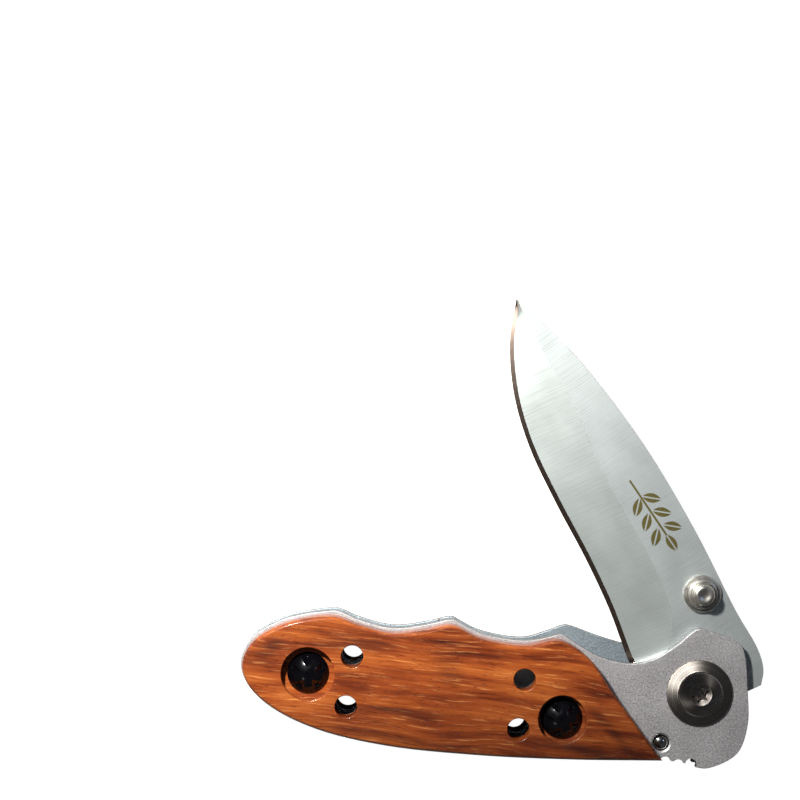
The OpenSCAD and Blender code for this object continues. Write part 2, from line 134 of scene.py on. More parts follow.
@dataclass(frozen=True)
class Finish(ABC):
    """A surface: what it is made of, how it was worked and what that gives the eye."""

    name: str
    colour: str
    roughness: float
    metallic: float = 0.0
    fixed: dict[str, float] = field(default_factory=dict)

    def material(self) -> bpy.types.Material:
        """Makes the material once and returns it every time."""
        made = bpy.data.materials.get(self.name)
        if made is None:
            made = bpy.data.materials.new(self.name)
            made.use_nodes = True
            tree = made.node_tree
            tree.nodes.clear()
            place = add_node(
                tree,
                "ShaderNodeVectorMath",
                operation="SCALE",
                values={"Scale": 1 / MM},
                links={0: add_node(tree, "ShaderNodeTexCoord").outputs["Object"]},
            ).outputs["Vector"]
            values = {
                "Base Color": linear(self.colour),
                "Roughness": self.roughness,
                "Metallic": self.metallic,
            }
            shader = add_node(
                tree,
                "ShaderNodeBsdfPrincipled",
                values={**values, **self.fixed},
                links=self.pattern(tree, place),
            )
            add_node(tree, "ShaderNodeOutputMaterial", links={"Surface": shader.outputs["BSDF"]})
        return made

    @abstractmethod
    def pattern(self, tree: Tree, place: Socket) -> dict[str, Socket]:
        """Draws what the work left on the surface.

        Args:
            tree: The material's node tree.
            place: The place in millimetres.

        Returns:
            What feeds the shader's colour, roughness and normal, by the sockets' names.
        """

    @staticmethod
    def grain(
        tree: Tree, place: Socket, spot: tuple[float, float, float], detail: float = 3.0
    ) -> Socket:
        """Noise whose spots have the given size.

        Args:
            tree: The material's node tree.
            place: The place in millimetres.
            spot: Size of a spot along each axis, in millimetres.
            detail: How many finer layers lie on it.

        Returns:
            The noise as a factor.
        """
        sized = add_node(
            tree,
            "ShaderNodeVectorMath",
            operation="DIVIDE",
            values={1: spot},
            links={0: place},
        )
        made = add_node(
            tree,
            "ShaderNodeTexNoise",
            values={"Scale": 1.0, "Detail": detail, "Roughness": 0.55},
            links={"Vector": sized.outputs["Vector"]},
        )
        return made.outputs["Fac"]

    @staticmethod
    def weighed(tree: Tree, *layers: tuple[Socket, float]) -> Socket:
        """Adds up patterns, each of them times its own weight.

        Args:
            tree: The material's node tree.
            *layers: Each pattern with its weight.

        Returns:
            The sum.
        """
        total: dict[str | int, Socket] = {}
        for pattern, weight in layers:
            made = add_node(
                tree,
                "ShaderNodeMath",
                operation="MULTIPLY_ADD",
                values={1: weight, 2: 0.0},
                links={0: pattern, **total},
            )
            total = {2: made.outputs[0]}
        return total[2]

    @staticmethod
    def overlaid(tree: Tree, operation: str, shapes: Sequence[Socket]) -> Socket:
        """Lays shapes over each other, one after the other.

        Args:
            tree: The material's node tree.
            operation: MAXIMUM for what any of them covers, MINIMUM for what all of them cover.
            shapes: The shapes, each one inside and zero outside.

        Returns:
            The shape that they make together.
        """
        whole = shapes[0]
        for shape in shapes[1:]:
            links = {0: whole, 1: shape}
            whole = add_node(tree, "ShaderNodeMath", operation=operation, links=links).outputs[0]
        return whole

    def mottled(
        self,
        tree: Tree,
        fine: Socket,
        coarse: Socket,
        half: float,
        share: float,
        shades: tuple[float, float],
    ) -> Socket:
        """Darkens and lightens the colour by a fine pattern over a coarse one.

        Args:
            tree: The material's node tree.
            fine: The fine pattern.
            coarse: The coarse pattern.
            half: How far on each side of 0.5 the fine pattern counts.
            share: The fine pattern's share of the whole.
            shades: The darkest and the lightest shade, as shares of the colour.

        Returns:
            The colour.
        """
        layers = []
        for source, reach, part in ((fine, half, share), (coarse, 0.2, 1 - share)):
            layer = add_node(
                tree,
                "ShaderNodeMapRange",
                values={"From Min": 0.5 - reach, "From Max": 0.5 + reach, "To Max": part},
                links={"Value": source},
            )
            layers.append((layer.outputs["Result"], 1.0))
        return add_node(
            tree,
            "ShaderNodeMix",
            data_type="RGBA",
            values={6: shaded(self.colour, shades[0]), 7: shaded(self.colour, shades[1])},
            links={0: self.weighed(tree, *layers)},
        ).outputs[2]

    def worn(
        self,
        tree: Tree,
        gloss: tuple[Socket, float, float, float],
        relief: tuple[Socket, float, float],
    ) -> dict[str, Socket]:
        """Varies the roughness over one pattern and raises the surface by another.

        Args:
            tree: The material's node tree.
            gloss: The pattern, how far on each side of 0.5 it counts, and what it adds to the
                roughness at its low and its high end.
            relief: The pattern, its depth in millimetres and its strength.

        Returns:
            What feeds the shader's roughness and normal.
        """
        source, half, at_low, at_high = gloss
        height, depth, strength = relief
        rough = add_node(
            tree,
            "ShaderNodeMapRange",
            values={
                "From Min": 0.5 - half,
                "From Max": 0.5 + half,
                "To Min": self.roughness + at_low,
                "To Max": self.roughness + at_high,
            },
            links={"Value": source},
        )
        raised = add_node(
            tree,
            "ShaderNodeBump",
            values={"Strength": strength, "Distance": depth * MM},
            links={"Height": height},
        )
        return {"Roughness": rough.outputs["Result"], "Normal": raised.outputs["Normal"]}


@dataclass(frozen=True)
class OiledHardwood(Finish):
    """Dense red-brown hardwood, sanded, oiled and buffed.

    Long streaks run with the grain, short dark pores are cut open by the sanding, and the oil
    leaves a thin glossy coat.
    """

    streak: tuple[float, float, float] = (26.0, 1.5, 1.1)
    cloud: tuple[float, float, float] = (16.0, 6.0, 6.0)
    fibre: tuple[float, float, float] = (5.0, 0.32, 0.3)
    pore: tuple[float, float, float] = (1.3, 0.16, 0.2)
    grain_turn: float = 7.0
    sway: float = 1.1
    relief_depth: float = 0.14
    # dark figure in the wood: middle, half length, half width and turn in degrees
    figure: tuple[tuple[float, float, float, float, float], ...] = (
        (-61.5, 9.6, 8.5, 1.5, -6.0),
        (-75.5, 8.8, 3.2, 1.6, 38.0),
        (-53.0, -2.4, 12.0, 0.75, -4.0),
        (-55.0, -7.6, 18.0, 1.5, -12.0),
        (-44.5, 5.0, 3.0, 2.2, -25.0),
        (-15.5, -6.6, 9.0, 1.0, -48.0),
        (-20.5, -9.6, 9.0, 1.0, -14.0),
        (-38.5, -9.8, 12.0, 1.0, -6.0),
    )

    def pattern(self, tree: Tree, place: Socket) -> dict[str, Socket]:
        """Lays streaks, fibres, figure and pores over each other, and paints shade towards the lower
        edge.
        """
        along = self.grain_way(tree, place)
        streaks = self.grain(tree, along, self.streak, 5.0)
        clouds = self.grain(tree, along, self.cloud, 2.0)
        fibres = self.grain(tree, along, self.fibre, 3.0)
        pores = self.grain(tree, along, self.pore, 1.0)
        marks = self.figure_marks(tree, place, streaks)

        colour = add_node(
            tree,
            "ShaderNodeValToRGB",
            links={"Fac": self.weighed(tree, (streaks, 0.62), (clouds, 0.38))},
            stops=(
                (0.32, "#3a1407"),
                (0.68, "#a85c28"),
                (0.41, "#62260b"),
                (0.49, "#823a14"),
                (0.57, "#964a1b"),
            ),
        ).outputs["Color"]
        # each layer's pattern, where it starts and is full, its share, how it mixes and its hex
        layers = (
            (fibres, 0.42, 0.30, 0.5, "MULTIPLY", "#6e2c12"),
            (fibres, 0.58, 0.74, 0.42, "SCREEN", "#e39a58"),
            (marks, 0.0, 1.0, 1.0, "MIX", "#3c160c"),
            (pores, 0.34, 0.24, 0.7, "MIX", "#3a170c"),
        )
        for source, start, full, share, mode, layer in layers:
            factor = add_node(
                tree,
                "ShaderNodeMapRange",
                values={"From Min": start, "From Max": full, "To Max": share},
                links={"Value": source},
            ).outputs["Result"]
            colour = add_node(
                tree,
                "ShaderNodeMix",
                data_type="RGBA",
                blend_type=mode,
                values={7: linear(layer)},
                links={0: factor, 6: colour},
            ).outputs[2]
        # painted shade: the colour is scaled down towards the lower edge of the scale, where the
        # light falls off
        colour = add_node(
            tree,
            "ShaderNodeVectorMath",
            operation="SCALE",
            links={0: colour, "Scale": self.painted_falloff(tree, place)},
        ).outputs["Vector"]

        pitted = add_node(
            tree,
            "ShaderNodeMapRange",
            values={"From Min": 0.34, "From Max": 0.24},
            links={"Value": pores},
        ).outputs["Result"]
        height = self.weighed(tree, (clouds, 0.8), (pitted, -0.6), (fibres, 0.35))
        worn = self.worn(tree, (fibres, 0.2, -0.06, 0.08), (height, self.relief_depth, 0.8))
        return {"Base Color": colour, **worn}

    def grain_way(self, tree: Tree, place: Socket) -> Socket:
        """The place along the grain, which sways slowly and runs a little aslant."""
        sway = add_node(
            tree,
            "ShaderNodeMapRange",
            values={"From Min": 0.3, "From Max": 0.7, "To Min": -self.sway, "To Max": self.sway},
            links={"Value": self.grain(tree, place, (30.0, 16.0, 16.0), 1.0)},
        ).outputs["Result"]
        offset = add_node(tree, "ShaderNodeCombineXYZ", links={"Y": sway})
        swayed = add_node(
            tree,
            "ShaderNodeVectorMath",
            operation="ADD",
            links={0: place, 1: offset.outputs["Vector"]},
        )
        return add_node(
            tree,
            "ShaderNodeVectorRotate",
            rotation_type="Z_AXIS",
            values={"Angle": math.radians(self.grain_turn)},
            links={"Vector": swayed.outputs["Vector"]},
        ).outputs["Vector"]

    def painted_falloff(self, tree: Tree, place: Socket) -> Socket:
        """Painted shade across the scale: lighter above and darker below, standing in for the light
        falling off towards the lower edge.
        """
        across = add_node(
            tree,
            "ShaderNodeVectorMath",
            operation="DOT_PRODUCT",
            values={1: (-0.12, 1.0, 0.0)},
            links={0: place},
        )
        return add_node(
            tree,
            "ShaderNodeMapRange",
            values={"From Min": -8.0, "From Max": 9.0, "To Min": 0.4, "To Max": 0.9},
            links={"Value": across.outputs["Value"]},
        ).outputs["Result"]

    def figure_marks(self, tree: Tree, place: Socket, streaks: Socket) -> Socket:
        """The few long dark marks of this piece of wood, frayed by its streaks."""
        marks = []
        for x, y, half_l, half_w, turn in self.figure:
            moved = add_node(
                tree,
                "ShaderNodeVectorRotate",
                rotation_type="Z_AXIS",
                values={"Center": (x, y, 0.0), "Angle": math.radians(-turn)},
                links={"Vector": place},
            )
            local = add_node(
                tree,
                "ShaderNodeVectorMath",
                operation="SUBTRACT",
                values={1: (x, y, 0.0)},
                links={0: moved.outputs["Vector"]},
            )
            sized = add_node(
                tree,
                "ShaderNodeVectorMath",
                operation="MULTIPLY",
                values={1: (1 / half_l, 1 / half_w, 0.0)},
                links={0: local.outputs["Vector"]},
            )
            far = add_node(
                tree,
                "ShaderNodeVectorMath",
                operation="LENGTH",
                links={0: sized.outputs["Vector"]},
            )
            mark = add_node(
                tree,
                "ShaderNodeMapRange",
                values={"From Min": 1.25, "From Max": 0.25},
                links={"Value": far.outputs["Value"]},
            )
            marks.append(mark.outputs["Result"])
        frayed = add_node(
            tree,
            "ShaderNodeMapRange",
            values={"From Min": 0.62, "From Max": 0.40, "To Min": 0.15, "To Max": 0.85},
            links={"Value": streaks},
        )
        return add_node(
            tree,
            "ShaderNodeMath",
            operation="MULTIPLY",
            links={0: self.overlaid(tree, "MAXIMUM", marks), 1: frayed.outputs["Result"]},
        ).outputs[0]


@dataclass(frozen=True)
class BlastedSteel(Finish):
    """Stainless plate, bead-blasted: a flat grey with a fine, even sparkle."""

    grit: float = 0.28  # coarser than the real 0.1 mm, so that it shows
    cloud: float = 7.0
    depth: float = 0.02

    def pattern(self, tree: Tree, place: Socket) -> dict[str, Socket]:
        """Speckles the colour, the roughness and the surface with the grit."""
        pits = self.grain(tree, place, (self.grit,) * 3, 2.0)
        clouds = self.grain(tree, place, (self.cloud,) * 3, 2.0)
        colour = self.mottled(tree, pits, clouds, 0.2, 0.7, (0.82, 1.14))
        worn = self.worn(tree, (pits, 0.2, -0.06, 0.06), (pits, self.depth, 0.7))
        return {"Base Color": colour, **worn}


@dataclass(frozen=True)
class GroundSteel(Finish):
    """Blade steel, ground across its length: fine parallel lines with a satin sheen."""

    pitch: float = 0.3
    line_l: float = 7.0
    slant: float = 0.0
    ripple: float = 0.0
    ripple_pitch: float = 0.42  # coarser than the belt's real ripple, so that it shows
    depth: float = 0.006
    etched: bool = False

    def pattern(self, tree: Tree, place: Socket) -> dict[str, Socket]:
        """Draws the grinding lines in the folded blade's own directions."""
        folded = add_node(
            tree,
            "ShaderNodeVectorRotate",
            rotation_type="Z_AXIS",
            values={"Angle": math.radians(REST_TURN)},
            links={"Vector": place},
        ).outputs["Vector"]
        lined = add_node(
            tree,
            "ShaderNodeVectorRotate",
            rotation_type="Z_AXIS",
            values={"Angle": math.radians(self.slant)},
            links={"Vector": folded},
        ).outputs["Vector"]
        wave = add_node(
            tree,
            "ShaderNodeTexWave",
            # a wave texture repeats every pi / 10 at a scale of one
            values={
                "Scale": math.pi / 10 / self.ripple_pitch,
                "Distortion": 1.4,
                "Detail Scale": 0.6,
            },
            links={"Vector": lined},
        )
        rippled = add_node(
            tree,
            "ShaderNodeMapRange",
            values={"To Min": -self.ripple, "To Max": self.ripple},
            links={"Value": wave.outputs["Fac"]},
        ).outputs["Result"]
        scratches = self.grain(tree, lined, (self.pitch, self.line_l, 24.0), 4.0)
        lines = self.weighed(tree, (scratches, 1.0), (rippled, 1.0))
        clouds = self.grain(tree, folded, (9.0, 6.0, 6.0), 2.0)
        colour = self.mottled(tree, lines, clouds, 0.25, 0.7, (0.86, 1.1))
        if self.etched:
            colour = add_node(
                tree,
                "ShaderNodeMix",
                data_type="RGBA",
                values={7: linear("#6f6840")},
                links={0: Sprig().shape(tree, folded), 6: colour},
            ).outputs[2]
        worn = self.worn(tree, (lines, 0.25, 0.07, -0.07), (lines, self.depth, 0.8))
        return {"Base Color": colour, **worn}


@dataclass(frozen=True)
class Sprig:
    """A small etched sprig along the folded blade: a stem with a leaf at its end and three pairs."""

    stem_from: float = -38.0
    stem_to: float = -26.2
    stem_y: float = 11.0
    leaf_l: float = 2.3
    leaf_w: float = 0.85
    rib: float = 0.13
    pairs_at: tuple[float, ...] = (-28.6, -31.6, -34.6)
    spread_turn: float = 47.0

    def leaves(self) -> list[tuple[float, float, float]]:
        """Middle and turn of each leaf."""
        made = [(self.stem_to + 1.6, self.stem_y, 0.0)]
        for i, x in enumerate(self.pairs_at):
            reach = self.leaf_l * (1 - 0.08 * i)
            for side in (1, -1):
                y = self.stem_y + side * 0.78 * reach
                made.append((x + 0.72 * reach, y, side * self.spread_turn))
        return made

    def shape(self, tree: Tree, folded: Socket) -> Socket:
        """Draws the sprig.

        Args:
            tree: The material's node tree.
            folded: The place on the folded blade, in millimetres.

        Returns:
            One inside the etching and zero outside it.
        """
        shapes = [self.leaf(tree, folded, *leaf) for leaf in self.leaves()]
        split = add_node(tree, "ShaderNodeSeparateXYZ", links={"Vector": folded}).outputs
        off = add_node(
            tree,
            "ShaderNodeMath",
            operation="SUBTRACT",
            values={1: self.stem_y},
            links={0: split["Y"]},
        ).outputs[0]
        off = add_node(tree, "ShaderNodeMath", operation="ABSOLUTE", links={0: off}).outputs[0]
        limits = (
            (off, "LESS_THAN", self.rib * 1.4),
            (split["X"], "GREATER_THAN", self.stem_from),
            (split["X"], "LESS_THAN", self.stem_to),
        )
        stem = [
            add_node(
                tree, "ShaderNodeMath", operation=test, values={1: limit}, links={0: source}
            ).outputs[0]
            for source, test, limit in limits
        ]
        shapes.append(Finish.overlaid(tree, "MINIMUM", stem))
        return Finish.overlaid(tree, "MAXIMUM", shapes)

    def leaf(self, tree: Tree, folded: Socket, x: float, y: float, turn: float) -> Socket:
        """Draws one leaf, with its rib left bare.

        Args:
            tree: The material's node tree.
            folded: The place on the folded blade, in millimetres.
            x: Middle of the leaf along the blade.
            y: Middle of the leaf across the blade.
            turn: Turn of the leaf in degrees.

        Returns:
            One inside the leaf and zero outside it.
        """
        local = add_node(
            tree,
            "ShaderNodeVectorMath",
            operation="SUBTRACT",
            values={1: (x, y, 0.0)},
            links={0: folded},
        )
        turned = add_node(
            tree,
            "ShaderNodeVectorRotate",
            rotation_type="Z_AXIS",
            values={"Angle": math.radians(-turn)},
            links={"Vector": local.outputs["Vector"]},
        ).outputs["Vector"]
        split = add_node(tree, "ShaderNodeSeparateXYZ", links={"Vector": turned}).outputs
        u = split["X"]
        v = add_node(
            tree, "ShaderNodeMath", operation="ABSOLUTE", links={0: split["Y"]}
        ).outputs[0]
        squared = add_node(
            tree, "ShaderNodeMath", operation="MULTIPLY", links={0: u, 1: u}
        ).outputs[0]
        bulge = add_node(
            tree,
            "ShaderNodeMath",
            operation="MULTIPLY_ADD",
            values={1: -self.leaf_w / (0.78 * self.leaf_l) ** 2, 2: self.leaf_w},
            links={0: squared},
        ).outputs[0]
        within = add_node(
            tree, "ShaderNodeMath", operation="LESS_THAN", links={0: v, 1: bulge}
        ).outputs[0]
        off_rib = add_node(
            tree,
            "ShaderNodeMath",
            operation="GREATER_THAN",
            values={1: self.rib},
            links={0: v},
        ).outputs[0]
        return Finish.overlaid(tree, "MINIMUM", [within, off_rib])


@dataclass(frozen=True)
class TurnedSteel(Finish):
    """Stainless steel faced on a lathe: fine rings round an axis, with streaks of light."""

    axis: tuple[float, float] = (0.0, 0.0)
    pitch: float = 0.22
    patch: float = 1.6
    depth: float = 0.004

    def pattern(self, tree: Tree, place: Socket) -> dict[str, Socket]:
        """Draws the tool's rings round the axis and stretches the highlights along them."""
        arm = add_node(
            tree,
            "ShaderNodeVectorMath",
            operation="SUBTRACT",
            values={1: (*self.axis, 0.0)},
            links={0: place},
        ).outputs["Vector"]
        flat = add_node(
            tree,
            "ShaderNodeVectorMath",
            operation="MULTIPLY",
            values={1: (1.0, 1.0, 0.0)},
            links={0: arm},
        ).outputs["Vector"]
        radius = add_node(
            tree, "ShaderNodeVectorMath", operation="LENGTH", links={0: flat}
        ).outputs["Value"]
        on_line = add_node(tree, "ShaderNodeCombineXYZ", links={"X": radius}).outputs["Vector"]
        rings = self.grain(tree, on_line, (self.pitch, 1.0, 1.0), 3.0)
        patches = self.grain(tree, arm, (self.patch,) * 3, 2.0)
        ring_way = add_node(
            tree,
            "ShaderNodeVectorMath",
            operation="CROSS_PRODUCT",
            values={0: (0.0, 0.0, 1.0)},
            links={1: flat},
        )
        colour = self.mottled(tree, rings, patches, 0.25, 0.65, (0.82, 1.1))
        worn = self.worn(tree, (rings, 0.25, -0.05, 0.06), (rings, self.depth, 0.6))
        return {"Base Color": colour, "Tangent": ring_way.outputs["Vector"], **worn}


@dataclass(frozen=True)
class SmoothMetal(Finish):
    """Polished, blackened or plated metal with faint handling marks in its gloss."""

    smudge: float = 1.2
    scuff: tuple[float, float, float] = (0.5, 0.08, 0.3)
    spread_of_gloss: float = 0.06
    scuff_depth: float = 0.002

    def pattern(self, tree: Tree, place: Socket) -> dict[str, Socket]:
        """Varies the gloss and the tone a little, over smudges and fine scuffs."""
        smudges = self.grain(tree, place, (self.smudge,) * 3, 3.0)
        scuffs = self.grain(tree, place, self.scuff, 2.0)
        colour = add_node(
            tree,
            "ShaderNodeMix",
            data_type="RGBA",
            values={6: shaded(self.colour, 0.88), 7: shaded(self.colour, 1.08)},
            links={0: smudges},
        )
        gloss = (smudges, 0.2, -self.spread_of_gloss / 2, self.spread_of_gloss)
        worn = self.worn(tree, gloss, (scuffs, self.scuff_depth, 0.5))
        return {"Base Color": colour.outputs[2], **worn}


# Dense red-brown hardwood such as bubinga, under buffed oil: deep streaks below a soft gloss
WOOD = OiledHardwood(
    "buffed_oiled_hardwood",
    "#b5622f",
    roughness=0.45,
    fixed={"Coat Weight": 0.4, "Coat Roughness": 0.16, "Specular IOR Level": 0.25, "IOR": 1.45},
)
# Stainless liner stock, bead-blasted to an even, faintly sparkling grey
LINER = BlastedSteel("bead_blasted_stainless", "#b6b4b6", roughness=0.6, metallic=1.0)
# The inner liner keeps the bluish grey of finer blasting
INNER_LINER = BlastedSteel("fine_blasted_stainless", "#9aa6ad", roughness=0.56, metallic=1.0)
# Edges of the plates, left as the cutter made them
CUT_EDGE = BlastedSteel("milled_plate_edge", "#8e8f90", roughness=0.45, metallic=1.0)
# Blade flats, belt-ground across: lines 0.2 mm apart on a ripple of twice that
FLAT = GroundSteel(
    "belt_ground_blade_flat",
    "#bcc3c3",
    roughness=0.56,
    metallic=1.0,
    pitch=0.22,
    ripple=0.09,
    etched=True,
)
# Flat grind below them, from a finer belt held slightly aslant
GRIND = GroundSteel(
    "fine_ground_blade_bevel",
    "#aab1b0",
    roughness=0.56,
    metallic=1.0,
    pitch=0.2,
    slant=9.0,
    ripple=0.04,
)
# The sharpened edge, honed at a steep angle; its dark brown colour is a painted reflection of what
# is dark beside the knife
EDGE_DARK_REFLECTION = GroundSteel(
    "honed_edge_painted_dark_reflection", "#5b504a", roughness=0.32, metallic=1.0, pitch=0.15, depth=0.004
)
# Back and tang of the blade, ground along
SPINE = GroundSteel(
    "ground_blade_back", "#a7a9a8", roughness=0.42, metallic=1.0, pitch=0.25, depth=0.004
)
# Pivot heads, faced on a lathe
PIVOT_FACE = TurnedSteel(
    "lathe_faced_stainless", "#a09a94", roughness=0.24, metallic=1.0, fixed={"Anisotropic": 0.75}
)
# Stop pin and detent ball, polished bright
POLISHED = SmoothMetal("polished_stainless", "#bdbcb8", roughness=0.14, metallic=1.0)
# Thumb stud, turned and tumbled to a soft gloss
TUMBLED = SmoothMetal("tumbled_stainless", "#cfcdc6", roughness=0.33, metallic=1.0)
# Scale screws, steel under a deep glossy black
BLACK = SmoothMetal("gloss_black_steel", "#050507", roughness=0.12, spread_of_gloss=0.05)
# Screws under the scales and behind the stud, dull phosphated steel
DARK_STEEL = SmoothMetal("phosphated_steel", "#55565a", roughness=0.4, metallic=1.0)
# Pivot washers, phosphor bronze
BRONZE = SmoothMetal("phosphor_bronze", "#b98a52", roughness=0.3, metallic=1.0)
# Backspacer, hard-anodised black aluminium
SPACER = SmoothMetal("black_anodised_aluminium", "#1d1d1f", roughness=0.45, metallic=0.4)


# ---------------------------------------------------------------- mesh work


class Bench:
    """Mesh work that every sub-assembly shares. Sizes are in millimetres."""

    @staticmethod
    def span(node: str) -> tuple[Vector, Vector]:
        """Lowest and highest corner of a CAD node."""
        low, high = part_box(node)
        return low / MM, high / MM

    @staticmethod
    def copy_of(node: str, weld: float = 0.004) -> Mesh:
        """A copy of a CAD node's mesh, with its loose triangles welded."""
        bm = bmesh.new()
        bm.from_mesh(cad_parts[node].data)
        bmesh.ops.scale(bm, vec=Vector((1 / MM,) * 3), verts=bm.verts)
        bmesh.ops.remove_doubles(bm, verts=bm.verts, dist=weld)
        bmesh.ops.dissolve_limit(
            bm, angle_limit=math.radians(0.3), verts=bm.verts, edges=bm.edges
        )
        return bm

    @staticmethod
    def spun(profile: Sequence[tuple[float, float]], turns: int = 96) -> Mesh:
        """Spins a profile round the Z axis.

        Args:
            profile: Radius and height of each point, with both ends on the axis.
            turns: How many steps the spin takes.

        Returns:
            The closed round solid.
        """
        bm = bmesh.new()
        points = [bm.verts.new((r, 0.0, z)) for r, z in profile]
        edges = [bm.edges.new(pair) for pair in zip(points, points[1:])]
        bmesh.ops.spin(
            bm,
            geom=points + edges,
            cent=(0, 0, 0),
            axis=(0, 0, 1),
            dvec=(0, 0, 0),
            angle=math.tau,
            steps=turns,
            use_merge=True,
            use_duplicate=False,
        )
        bmesh.ops.remove_doubles(bm, verts=bm.verts, dist=0.0005)
        bmesh.ops.recalc_face_normals(bm, faces=bm.faces)
        return bm

    @staticmethod
    def moved(bm: Mesh, x: float, y: float, z: float = 0.0, turn: float = 0.0) -> Mesh:
        """Turns a mesh round the Z axis, in degrees, and moves it."""
        place = Matrix.Translation((x, y, z)) @ Matrix.Rotation(math.radians(turn), 4, "Z")
        bmesh.ops.transform(bm, matrix=place, verts=bm.verts)
        return bm

    @staticmethod
    def flipped(bm: Mesh, middle: float) -> Mesh:
        """Mirrors a mesh in the level plane at that height."""
        bmesh.ops.scale(bm, vec=(1, 1, -1), verts=bm.verts)
        bmesh.ops.translate(bm, vec=(0, 0, 2 * middle), verts=bm.verts)
        bmesh.ops.reverse_faces(bm, faces=bm.faces)
        return bm

    @staticmethod
    def joined(parts: Sequence[Mesh]) -> Mesh:
        """Puts several meshes in one."""
        bm = bmesh.new()
        for part in parts:
            mesh = bpy.data.meshes.new("part")
            part.to_mesh(mesh)
            part.free()
            bm.from_mesh(mesh)
            bpy.data.meshes.remove(mesh)
        return bm

    @staticmethod
    def cut(bm: Mesh, tool: Mesh) -> Mesh:
        """Takes a closed tool away from a closed piece.

        Args:
            bm: The piece, which is used up.
            tool: What is taken away, which is used up.

        Returns:
            What is left of the piece.
        """
        made = []
        for part in (bm, tool):
            mesh = bpy.data.meshes.new("cut")
            part.to_mesh(mesh)
            part.free()
            made.append(bpy.data.objects.new("cut", mesh))
            bpy.context.scene.collection.objects.link(made[-1])
        step = made[0].modifiers.new("cut", "BOOLEAN")
        step.operation, step.solver, step.object = "DIFFERENCE", "EXACT", made[1]
        bpy.context.view_layer.update()
        depsgraph = bpy.context.evaluated_depsgraph_get()
        left = bpy.data.meshes.new_from_object(made[0].evaluated_get(depsgraph))
        result = bmesh.new()
        result.from_mesh(left)
        for mesh in (left, *(o.data for o in made)):
            bpy.data.meshes.remove(mesh)
        return result

    @staticmethod
    def eased(
        bm: Mesh,
        width: float,
        pick: Callable[[bmesh.types.BMEdge], bool] = lambda edge: True,
        segments: int = 2,
        sharp: float = 50.0,
    ) -> Mesh:
        """Bevels the sharp edges that pick() takes.

        Args:
            bm: The mesh to work on.
            width: Width of the bevel.
            pick: Says which of the sharp edges are bevelled.
            segments: Steps across the bevel.
            sharp: Least angle between an edge's faces, in degrees.

        Returns:
            The same mesh.
        """
        least = math.radians(sharp)
        edges = [e for e in bm.edges if e.is_manifold and e.calc_face_angle() > least and pick(e)]
        bmesh.ops.bevel(
            bm,
            geom=edges,
            offset=width,
            offset_type="OFFSET",
            segments=segments,
            profile=0.5,
            affect="EDGES",
            clamp_overlap=False,
            material=-1,
        )
        return bm

    @staticmethod
    def piece(
        name: str,
        bm: Mesh,
        finishes: Sequence[Finish],
        body: Body,
        slot: str,
        stands_for: Sequence[str],
        crisp: float = 32.0,
    ) -> bpy.types.Object:
        """Writes a mesh out as a finished piece that stands for CAD nodes.

        Args:
            name: The piece's name.
            bm: Its mesh in millimetres, which is used up.
            finishes: Its finishes, in the order of the faces' material numbers.
            body: The body that it rides on.
            slot: Not used.
            stands_for: The CAD nodes that it stands for.
            crisp: Edges with a greater angle than this stay crisp, in degrees.

        Returns:
            The new object.
        """
        most = math.radians(crisp)
        for face in bm.faces:
            face.smooth = True
        for edge in bm.edges:
            alike = len({face.material_index for face in edge.link_faces}) == 1
            edge.smooth = edge.is_manifold and alike and edge.calc_face_angle() < most
        bmesh.ops.scale(bm, vec=Vector((MM,) * 3), verts=bm.verts)
        mesh = bpy.data.meshes.new(name)
        bm.to_mesh(mesh)
        bm.free()
        for finish in finishes:
            mesh.materials.append(finish.material())
        made = bpy.data.objects.new(name, mesh)
        bpy.context.scene.collection.objects.link(made)
        flat = made.modifiers.new("even_faces", "WEIGHTED_NORMAL")
        flat.keep_sharp = True
        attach(made, body.value)
        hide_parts(*stands_for)
        log.info("%s: %d faces, for %s", name, len(mesh.polygons), ", ".join(stands_for))
        return made

    @staticmethod
    def dress_node(node: str, finish: Finish) -> None:
        """Gives a CAD node, whose shape is kept, its finish."""
        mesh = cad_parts[node].data
        mesh.materials.clear()
        mesh.materials.append(finish.material())
        log.info("%s: kept, in %s", node, finish.name)


# ---------------------------------------------------------------- sub-assemblies


@dataclass
class Scales:
    """The two wooden grip scales, with their holes and counterbores eased by sanding."""

    rim: float = 0.16
    rim_steps: int = 3
    level: float = 0.01  # how near to a face an edge lies to be its rim

    def build(self) -> None:
        """Builds both scales from the CAD shapes and eases every rim at their faces."""
        faces = {
            "front_scale": Bench.span("front_scale")[1].z,
            "back_scale": Bench.span("back_scale")[0].z,
        }
        for node, face in faces.items():
            bm = Bench.copy_of(node)
            Bench.eased(
                bm,
                self.rim,
                pick=lambda e, z=face: all(abs(v.co.z - z) < self.level for v in e.verts),
                segments=self.rim_steps,
            )
            Bench.piece(f"{node}_wood", bm, [WOOD], Body.HANDLE, "rosewood", [node], crisp=36)


